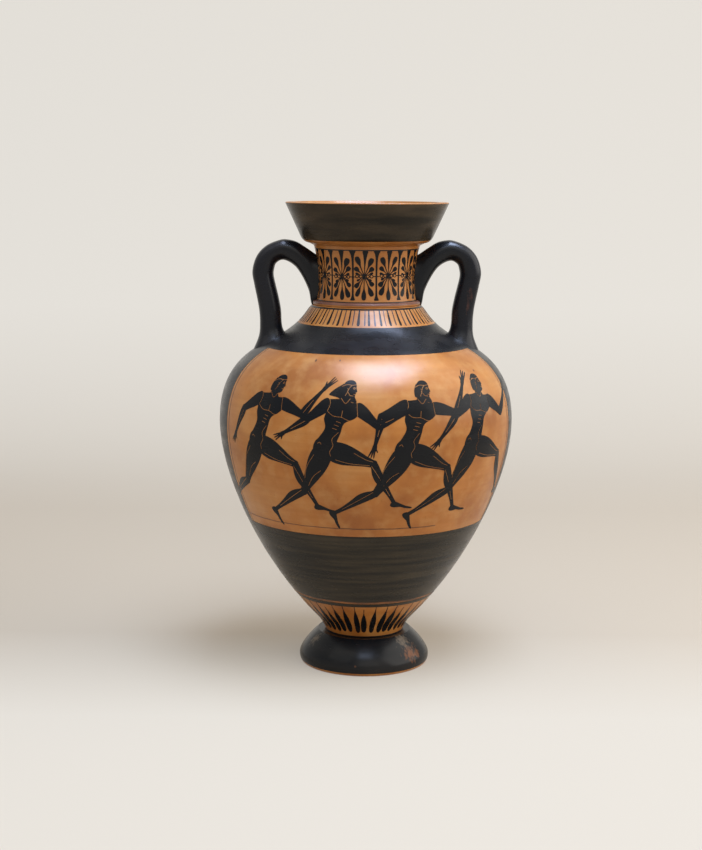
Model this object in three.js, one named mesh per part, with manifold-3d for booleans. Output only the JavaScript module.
// Panathenaic amphora: a tall two-handled jar, thrown in sections that were joined before firing.
// Millimetres, +Z up. The origin is the centre of the face it rests on; the handles lie along X.
import * as THREE from "three";
import { mergeVertices } from "three/addons/utils/BufferGeometryUtils.js";
import Module from "manifold-3d";

const wasm = await Module();
wasm.setup();

// Every PULL is the offset [out, up] from an end of a curve to the control point beside it.

// Heights of the sections, stacked from the ground up
const FOOT_HEIGHT = 44;
const LOWER_BODY_HEIGHT = 256;
const UPPER_BODY_HEIGHT = 186.5;
const NECK_HEIGHT = 78.5;
const MOUTH_HEIGHT = 56.2;

// Foot: a spreading ring with a round edge, hollow underneath
const FOOT_EDGE_RADIUS = 87.8;
const FOOT_EDGE_HEIGHT = 10;
const FOOT_EDGE_LOW_PULL = [0, -5.8];
const FOOT_EDGE_HIGH_PULL = [0, 9.2];
const FOOT_REST_INSET = 3.8;
const FOOT_REST_WIDTH = 24;
const FOOT_REST_PULL = [2, 0.6];
const FOOT_LEDGE_WIDTH = 10.1;
const FOOT_LEDGE_PULL = [7.9, -5.9];
const FOOT_SEAT_WIDTH = 22.5;
const FOOT_HOLLOW_TOP_PULL = [2, -18];
const FOOT_HOLLOW_LOW_PULL = [-6, 11];

// Body: a narrow stem, straight flanks, a wide belly and a shoulder that curves up to the neck
const STEM_RADIUS = 52.4;
const STEM_PULL = [0, 1.8];
const FLANK_START_SPREAD = 11.2;
const FLANK_START_RISE = 19.2;
const FLANK_ANGLE = 45.6;
const FLANK_STEM_PULL = 6;
const FLANK_PULL = 116.4;
const BELLY_RADIUS = 195.3;
const BELLY_ABOVE_SEAM = 33;
const BELLY_LOW_PULL = [0, -69.3];
const BELLY_HIGH_PULL = [0, 70.7];
const SHOULDER_TURN_INSET = 70.6;
const SHOULDER_TURN_DROP = 46.2;
const SHOULDER_ANGLE = 26.9;
const SHOULDER_OUTER_PULL = 34.3;
const SHOULDER_INNER_PULL = 48.1;
const COLLAR_WIDTH = 3.2;
const COLLAR_PULL = [9.6, -5.9];
const BODY_WALL = 6.5;
const FLOOR_THICKNESS = 12;
const FLOOR_FILLET = 16;
const FLOOR_FILLET_TOP_PULL = [-10, -11];
const FLOOR_FILLET_LOW_PULL = [14, 0];
const FLOOR_FILLET_SPREAD = 30;

// Neck and the moulded ring around its base
const NECK_BASE_RADIUS = 68;
const NECK_LOW_PULL = [-6, 20];
const NECK_TOP_SPREAD = 2.5;
const NECK_HIGH_PULL = [-6, -14];
const NECK_WALL = 8;
const NECK_RING_HEIGHT = 6;
const NECK_RING_BULGE = 4.4;
const NECK_RING_EDGE = 1.2;

// Mouth: a flaring cup with an undercut below and a flat rim above
const MOUTH_UNDERSIDE_WIDTH = 6.5;
const MOUTH_UNDERSIDE_RISE = 3;
const MOUTH_UNDERSIDE_PULL = [5, 0.6];
const MOUTH_TURN_WIDTH = 17.1;
const MOUTH_TURN_RISE = 11.5;
const MOUTH_TURN_PULL = [-2, -4.5];
const RIM_RADIUS = 108.1;
const RIM_WIDTH = 13.1;
const RIM_EDGE = 2.4;
const RIM_EDGE_INSET = 0.9;
const THROAT_SPREAD = 3.5;
const THROAT_RISE = 15;
const THROAT_PULL = [12, 14];
const RIM_INNER_PULL = [-7, -8];

// Handles: stations of the loft, each [inner reach, inner rise, outer reach, outer rise, half width].
// Root, on the neck: reach from the neck's base, rise from the neck seat inside and the mouth outside.
const HANDLE_ROOT = [
  [-12, -5, -12, -19.5, 13.5],
  [3.5, -3, 0.5, -12, 13.5],
  [9, 18.7, 11.5, -4.5, 14.5],
];
// Bow, level with the mouth's seat: reach from the neck's base, then from the shoulder's turn
const HANDLE_BOW_BY_NECK = [
  [19.3, -38.6, 24.5, 3.5, 15.5],
  [29.5, -26.3, 36, 6.5, 15.5],
];
const HANDLE_BOW_OUTSIDE = [
  [-14.1, -20.3, -9.7, 6.1, 15.5],
  [-5.2, -24.2, 8.6, -1.7, 15.5],
  [-2.2, -31.5, 21.2, -15.5, 15.5],
  [-1.4, -40.5, 26.9, -35, 15.5],
];
// Leg: reach from the shoulder's turn, rise from the neck seat
const HANDLE_LEG = [
  [-4.4, 24, 24.4, 25.5, 15.5],
  [-8.2, 8, 20.9, 8.5, 15.5],
  [-11.1, -8, 18, -8, 15.5],
  [-11.9, -24, 17, -25, 16],
];
// Spread on the shoulder: reach and rise from the shoulder's turn
const HANDLE_SPREAD = [
  [-14, 12.2, 18.6, 3.2, 18],
  [-21, 0.2, 28, -19.8, 26],
];
const HANDLE_SQUARENESS = 2.25;
const HANDLE_EGG = 0.1;

// A piece cut to its neighbour's shape keeps this gap
const SEAT_GAP = 0.3;

// Mesh fineness
const TURNS = 60;
const HANDLE_RINGS = 26;
const HANDLE_SIDES = 16;
const SMALL_CURVE_STEPS = 4;
const LONG_CURVE_STEPS = 9;
const WELD_DISTANCE = 1e-4;
const LEAST_STEP = 1;

const BODY_SEAM = FOOT_HEIGHT + LOWER_BODY_HEIGHT;
const BELLY_HEIGHT = BODY_SEAM + BELLY_ABOVE_SEAM;
const NECK_SEAT = BODY_SEAM + UPPER_BODY_HEIGHT;
const NECK_RING_TOP = NECK_SEAT + NECK_RING_HEIGHT;
const MOUTH_SEAT = NECK_SEAT + NECK_HEIGHT;
const RIM_HEIGHT = MOUTH_SEAT + MOUTH_HEIGHT;
const SHOULDER_TURN_RADIUS = BELLY_RADIUS - SHOULDER_TURN_INSET;
const SHOULDER_TURN_HEIGHT = NECK_SEAT - SHOULDER_TURN_DROP;
const FOOT_LEDGE_RADIUS = STEM_RADIUS + FOOT_LEDGE_WIDTH;
const FOOT_REST_RADIUS = FOOT_EDGE_RADIUS - FOOT_REST_INSET;
const NECK_RING_RADIUS = NECK_BASE_RADIUS + NECK_RING_BULGE;
const NECK_TOP_RADIUS = NECK_BASE_RADIUS + NECK_TOP_SPREAD;
const THROAT_RADIUS = NECK_TOP_RADIUS - NECK_WALL + THROAT_SPREAD;

const GLOSS_BLACK = { color: 0x1b1b1f, roughness: 0.32, metalness: 0 };
const CLAY = { color: 0xb9773f, roughness: 0.55, metalness: 0 };
const RED_WASH = { color: 0x7a4338, roughness: 0.6, metalness: 0 };

// Outlines are lists of Vector2(radius, height)

function point(radius, height) {
  return new THREE.Vector2(radius, height);
}

function pulled(end, [out, up]) {
  return point(end.x + out, end.y + up);
}

function direction(degrees) {
  const angle = THREE.MathUtils.degToRad(degrees);
  return point(Math.cos(angle), Math.sin(angle));
}

function bezier(start, startPull, endPull, end, steps) {
  return new THREE.CubicBezierCurve(start, startPull, endPull, end).getPoints(steps);
}

// The outline moved sideways by a distance, to its right as it is walked.
function offsetOutline(outline, distance) {
  return outline.map((here, i) => {
    const before = outline[Math.max(i - 1, 0)];
    const after = outline[Math.min(i + 1, outline.length - 1)];
    const along = after.clone().sub(before).normalize();
    return point(here.x + along.y * distance, here.y - along.x * distance);
  });
}

function radiusAtHeight(outline, height) {
  for (let i = 1; i < outline.length; i++) {
    const low = outline[i - 1];
    const high = outline[i];
    if (low.y <= height && height <= high.y) {
      return THREE.MathUtils.mapLinear(height, low.y, high.y, low.x, high.x);
    }
  }
  const nearest = height < outline[0].y ? outline[0] : outline[outline.length - 1];
  return nearest.x;
}

// The stretch of a rising outline between two heights, with a point exactly at each.
function stretch(outline, low, high) {
  const between = outline.filter((p) => p.y > low + LEAST_STEP && p.y < high - LEAST_STEP);
  return [
    point(radiusAtHeight(outline, low), low),
    ...between,
    point(radiusAtHeight(outline, high), high),
  ];
}

// Outer outline of the whole body, from the foot to the neck seat.
function bodyOutline() {
  const stem = point(STEM_RADIUS, FOOT_HEIGHT);
  const flank = pulled(stem, [FLANK_START_SPREAD, FLANK_START_RISE]);
  const flankWay = direction(FLANK_ANGLE);
  const belly = point(BELLY_RADIUS, BELLY_HEIGHT);
  const turn = point(SHOULDER_TURN_RADIUS, SHOULDER_TURN_HEIGHT);
  const turnWay = direction(180 - SHOULDER_ANGLE);
  const collar = point(NECK_BASE_RADIUS + COLLAR_WIDTH, NECK_SEAT);
  const stemCurve = bezier(
    stem,
    pulled(stem, STEM_PULL),
    flank.clone().addScaledVector(flankWay, -FLANK_STEM_PULL),
    flank,
    SMALL_CURVE_STEPS / 2,
  );
  const flankCurve = bezier(
    flank,
    flank.clone().addScaledVector(flankWay, FLANK_PULL),
    pulled(belly, BELLY_LOW_PULL),
    belly,
    LONG_CURVE_STEPS,
  );
  const outerShoulder = bezier(
    belly,
    pulled(belly, BELLY_HIGH_PULL),
    turn.clone().addScaledVector(turnWay, -SHOULDER_OUTER_PULL),
    turn,
    LONG_CURVE_STEPS - 1,
  );
  const innerShoulder = bezier(
    turn,
    turn.clone().addScaledVector(turnWay, SHOULDER_INNER_PULL),
    pulled(collar, COLLAR_PULL),
    collar,
    SMALL_CURVE_STEPS,
  );
  return [
    ...stemCurve,
    ...flankCurve.slice(1),
    ...outerShoulder.slice(1),
    ...innerShoulder.slice(1),
  ];
}

function neckOutline() {
  const base = point(NECK_BASE_RADIUS, NECK_SEAT);
  const top = point(NECK_TOP_RADIUS, MOUTH_SEAT);
  return bezier(base, pulled(base, NECK_LOW_PULL), pulled(top, NECK_HIGH_PULL), top, LONG_CURVE_STEPS - 3);
}

const bodyOuter = bodyOutline();
const bodyInner = offsetOutline(bodyOuter, -BODY_WALL);
const neckOuter = neckOutline();
const neckInner = neckOuter.map((p) => point(p.x - NECK_WALL, p.y));

// A closed outline turned about the Z axis.
function turned(outline) {
  const closed = outline[0].x === 0 ? outline : [...outline, outline[0].clone()];
  return new THREE.LatheGeometry(closed, TURNS).rotateX(Math.PI / 2);
}

function footGeometry() {
  const restOuter = point(FOOT_REST_RADIUS, 0);
  const edge = point(FOOT_EDGE_RADIUS, FOOT_EDGE_HEIGHT);
  const ledge = point(FOOT_LEDGE_RADIUS, FOOT_HEIGHT);
  const seatInner = point(FOOT_LEDGE_RADIUS - FOOT_SEAT_WIDTH, FOOT_HEIGHT);
  const restInner = point(FOOT_REST_RADIUS - FOOT_REST_WIDTH, 0);
  const underEdge = bezier(
    restOuter,
    pulled(restOuter, FOOT_REST_PULL),
    pulled(edge, FOOT_EDGE_LOW_PULL),
    edge,
    SMALL_CURVE_STEPS,
  );
  const overEdge = bezier(
    edge,
    pulled(edge, FOOT_EDGE_HIGH_PULL),
    pulled(ledge, FOOT_LEDGE_PULL),
    ledge,
    SMALL_CURVE_STEPS + 1,
  );
  const hollow = bezier(
    seatInner,
    pulled(seatInner, FOOT_HOLLOW_TOP_PULL),
    pulled(restInner, FOOT_HOLLOW_LOW_PULL),
    restInner,
    SMALL_CURVE_STEPS - 1,
  );
  return turned([...underEdge, ...overEdge.slice(1), ...hollow]);
}

function lowerBodyGeometry() {
  const floor = FOOT_HEIGHT + FLOOR_THICKNESS;
  const filletTop = point(radiusAtHeight(bodyInner, floor + FLOOR_FILLET), floor + FLOOR_FILLET);
  const filletEnd = point(filletTop.x - FLOOR_FILLET_SPREAD, floor);
  const outer = stretch(bodyOuter, FOOT_HEIGHT, BODY_SEAM);
  const inner = stretch(bodyInner, filletTop.y, BODY_SEAM).reverse();
  const fillet = bezier(
    filletTop,
    pulled(filletTop, FLOOR_FILLET_TOP_PULL),
    pulled(filletEnd, FLOOR_FILLET_LOW_PULL),
    filletEnd,
    SMALL_CURVE_STEPS,
  );
  return turned([point(0, FOOT_HEIGHT), ...outer, ...inner, ...fillet.slice(1), point(0, floor)]);
}

// Under the neck seat the wall thickens into a ledge that carries the neck.
function upperBodyGeometry() {
  const neckOpening = neckInner[0];
  const ledgeBottom = NECK_SEAT - 2 * BODY_WALL;
  const outer = stretch(bodyOuter, BODY_SEAM, NECK_SEAT);
  const inner = stretch(bodyInner, BODY_SEAM, ledgeBottom).reverse();
  return turned([...outer, neckOpening, ...inner]);
}

function neckGeometry() {
  return turned([...neckOuter, ...neckInner.slice().reverse()]);
}

// The ring's inner side follows the neck, and its outer side is a half round.
function neckRingGeometry() {
  const inner = stretch(neckOuter, NECK_SEAT, NECK_RING_TOP).map((p) => pulled(p, [SEAT_GAP, 0]));
  const lowEdge = pulled(inner[0], [NECK_RING_EDGE, 0]);
  const highEdge = pulled(inner[inner.length - 1], [NECK_RING_EDGE, 0]);
  const outer = bezier(
    lowEdge,
    point(NECK_RING_RADIUS, NECK_SEAT),
    point(NECK_RING_RADIUS, NECK_RING_TOP),
    highEdge,
    SMALL_CURVE_STEPS + 1,
  );
  return turned([...outer, ...inner.reverse()]);
}

function mouthGeometry() {
  const underside = point(NECK_TOP_RADIUS + MOUTH_UNDERSIDE_WIDTH, MOUTH_SEAT + MOUTH_UNDERSIDE_RISE);
  const turn = point(NECK_TOP_RADIUS + MOUTH_TURN_WIDTH, MOUTH_SEAT + MOUTH_TURN_RISE);
  const rimLow = point(RIM_RADIUS - RIM_EDGE_INSET, RIM_HEIGHT - RIM_EDGE);
  const rimSide = point(RIM_RADIUS, RIM_HEIGHT - RIM_EDGE / 2);
  const rimCorner = point(RIM_RADIUS, RIM_HEIGHT);
  const rimTop = point(RIM_RADIUS - RIM_EDGE, RIM_HEIGHT);
  const rimInner = point(RIM_RADIUS - RIM_WIDTH, RIM_HEIGHT);
  const throatLow = point(THROAT_RADIUS, MOUTH_SEAT + THROAT_RISE);
  const roundedBase = bezier(
    underside,
    pulled(underside, MOUTH_UNDERSIDE_PULL),
    pulled(turn, MOUTH_TURN_PULL),
    turn,
    SMALL_CURVE_STEPS,
  );
  const rim = bezier(rimLow, rimSide, rimCorner, rimTop, SMALL_CURVE_STEPS - 1);
  const throat = bezier(
    rimInner,
    pulled(rimInner, RIM_INNER_PULL),
    pulled(throatLow, THROAT_PULL),
    throatLow,
    SMALL_CURVE_STEPS,
  );
  const neckEdge = neckOuter[neckOuter.length - 1];
  const neckOpening = neckInner[neckInner.length - 1];
  return turned([neckEdge, ...roundedBase, ...rim, ...throat, neckOpening]);
}

// A closed surface as a manifold-3d solid
function solidOf(geometry) {
  const bare = geometry.clone();
  bare.deleteAttribute("normal");
  bare.deleteAttribute("uv");
  const merged = mergeVertices(bare, WELD_DISTANCE);
  return new wasm.Manifold(
    new wasm.Mesh({
      numProp: 3,
      vertProperties: merged.attributes.position.array,
      triVerts: new Uint32Array(merged.index.array),
    }),
  );
}

function geometryOf(solid) {
  const mesh = solid.getMesh();
  const geometry = new THREE.BufferGeometry();
  geometry.setAttribute("position", new THREE.BufferAttribute(mesh.vertProperties, 3));
  geometry.setIndex(new THREE.BufferAttribute(mesh.triVerts, 1));
  geometry.computeVertexNormals();
  return geometry;
}

// The space that shoulder, ring and neck fill, grown by the seat gap: it trims the handle's roots.
function trimmingSolid() {
  const grownBody = offsetOutline(bodyOuter, SEAT_GAP);
  const shoulder = stretch(grownBody, BODY_SEAM, NECK_SEAT);
  const ring = [point(NECK_RING_RADIUS, NECK_SEAT), point(NECK_RING_RADIUS, NECK_RING_TOP)];
  const neck = stretch(offsetOutline(neckOuter, SEAT_GAP), NECK_RING_TOP, MOUTH_SEAT);
  return solidOf(turned([point(0, BODY_SEAM), ...shoulder, ...ring, ...neck, point(0, MOUTH_SEAT)]));
}

// Stations placed at a radius, with the heights that their inner and outer rises start from
function placed(stations, radius, innerHeight, outerHeight) {
  return stations.map(([innerReach, innerRise, outerReach, outerRise, halfWidth]) => ({
    inner: new THREE.Vector3(radius + innerReach, 0, innerHeight + innerRise),
    outer: new THREE.Vector3(radius + outerReach, 0, outerHeight + outerRise),
    halfWidth,
  }));
}

// The edges of the handle as seen from the front, and its half width, from root to root
function handleCurves() {
  const stations = [
    ...placed(HANDLE_ROOT, NECK_BASE_RADIUS, NECK_SEAT, MOUTH_SEAT),
    ...placed(HANDLE_BOW_BY_NECK, NECK_BASE_RADIUS, MOUTH_SEAT, MOUTH_SEAT),
    ...placed(HANDLE_BOW_OUTSIDE, SHOULDER_TURN_RADIUS, MOUTH_SEAT, MOUTH_SEAT),
    ...placed(HANDLE_LEG, SHOULDER_TURN_RADIUS, NECK_SEAT, NECK_SEAT),
    ...placed(HANDLE_SPREAD, SHOULDER_TURN_RADIUS, SHOULDER_TURN_HEIGHT, SHOULDER_TURN_HEIGHT),
  ];
  const inner = stations.map((station) => station.inner);
  const outer = stations.map((station) => station.outer);
  const halfWidths = stations.map(({ halfWidth }, i) => new THREE.Vector2(i, halfWidth));
  return {
    innerEdge: new THREE.CatmullRomCurve3(inner),
    outerEdge: new THREE.CatmullRomCurve3(outer),
    halfWidth: new THREE.SplineCurve(halfWidths),
  };
}

// One ring of the handle's loft: an oval that is fuller on the outer side of the bend.
function handleRing(inner, outer, halfWidth) {
  const centre = inner.clone().add(outer).multiplyScalar(0.5);
  const outward = outer.clone().sub(centre);
  const power = 2 / HANDLE_SQUARENESS;
  const ring = [];
  for (let side = 0; side < HANDLE_SIDES; side++) {
    const angle = (side / HANDLE_SIDES) * Math.PI * 2;
    const c = Math.cos(angle);
    const s = Math.sin(angle);
    const depth = Math.sign(c) * Math.abs(c) ** power;
    const width = Math.sign(s) * Math.abs(s) ** power * halfWidth * (1 + HANDLE_EGG * c);
    const vertex = centre.clone().addScaledVector(outward, depth);
    vertex.y += width;
    ring.push(vertex);
  }
  return ring;
}

// The untrimmed handle: a loft between its inner and outer edge, closed by a fan at each end.
function handleLoft() {
  const { innerEdge, outerEdge, halfWidth } = handleCurves();
  const positions = [];
  const index = [];
  for (let i = 0; i <= HANDLE_RINGS; i++) {
    const t = i / HANDLE_RINGS;
    const ring = handleRing(innerEdge.getPoint(t), outerEdge.getPoint(t), halfWidth.getPoint(t).y);
    ring.forEach((vertex) => positions.push(vertex.x, vertex.y, vertex.z));
  }
  for (let i = 0; i < HANDLE_RINGS; i++) {
    for (let side = 0; side < HANDLE_SIDES; side++) {
      const next = (side + 1) % HANDLE_SIDES;
      const a = i * HANDLE_SIDES + side;
      const b = i * HANDLE_SIDES + next;
      const c = a + HANDLE_SIDES;
      const d = b + HANDLE_SIDES;
      index.push(a, c, b, b, c, d);
    }
  }
  const last = HANDLE_RINGS * HANDLE_SIDES;
  for (let side = 1; side < HANDLE_SIDES - 1; side++) {
    index.push(0, side, side + 1);
    index.push(last, last + side + 1, last + side);
  }
  const geometry = new THREE.BufferGeometry();
  geometry.setAttribute("position", new THREE.Float32BufferAttribute(positions, 3));
  geometry.setIndex(index);
  return geometry;
}

const handleShape = geometryOf(solidOf(handleLoft()).subtract(trimmingSolid()));

const amphora = new THREE.Group();

function addPiece(name, geometry, finish) {
  const piece = new THREE.Mesh(geometry, new THREE.MeshStandardMaterial(finish));
  piece.name = name;
  amphora.add(piece);
  return piece;
}

addPiece("foot", footGeometry(), GLOSS_BLACK);
addPiece("lower_body", lowerBodyGeometry(), CLAY);
addPiece("upper_body", upperBodyGeometry(), CLAY);
addPiece("neck_ring", neckRingGeometry(), RED_WASH);
addPiece("neck", neckGeometry(), CLAY);
addPiece("mouth", mouthGeometry(), GLOSS_BLACK);
addPiece("handle_right", handleShape, GLOSS_BLACK);
addPiece("handle_left", handleShape.clone(), GLOSS_BLACK).rotation.z = Math.PI;

export default amphora;
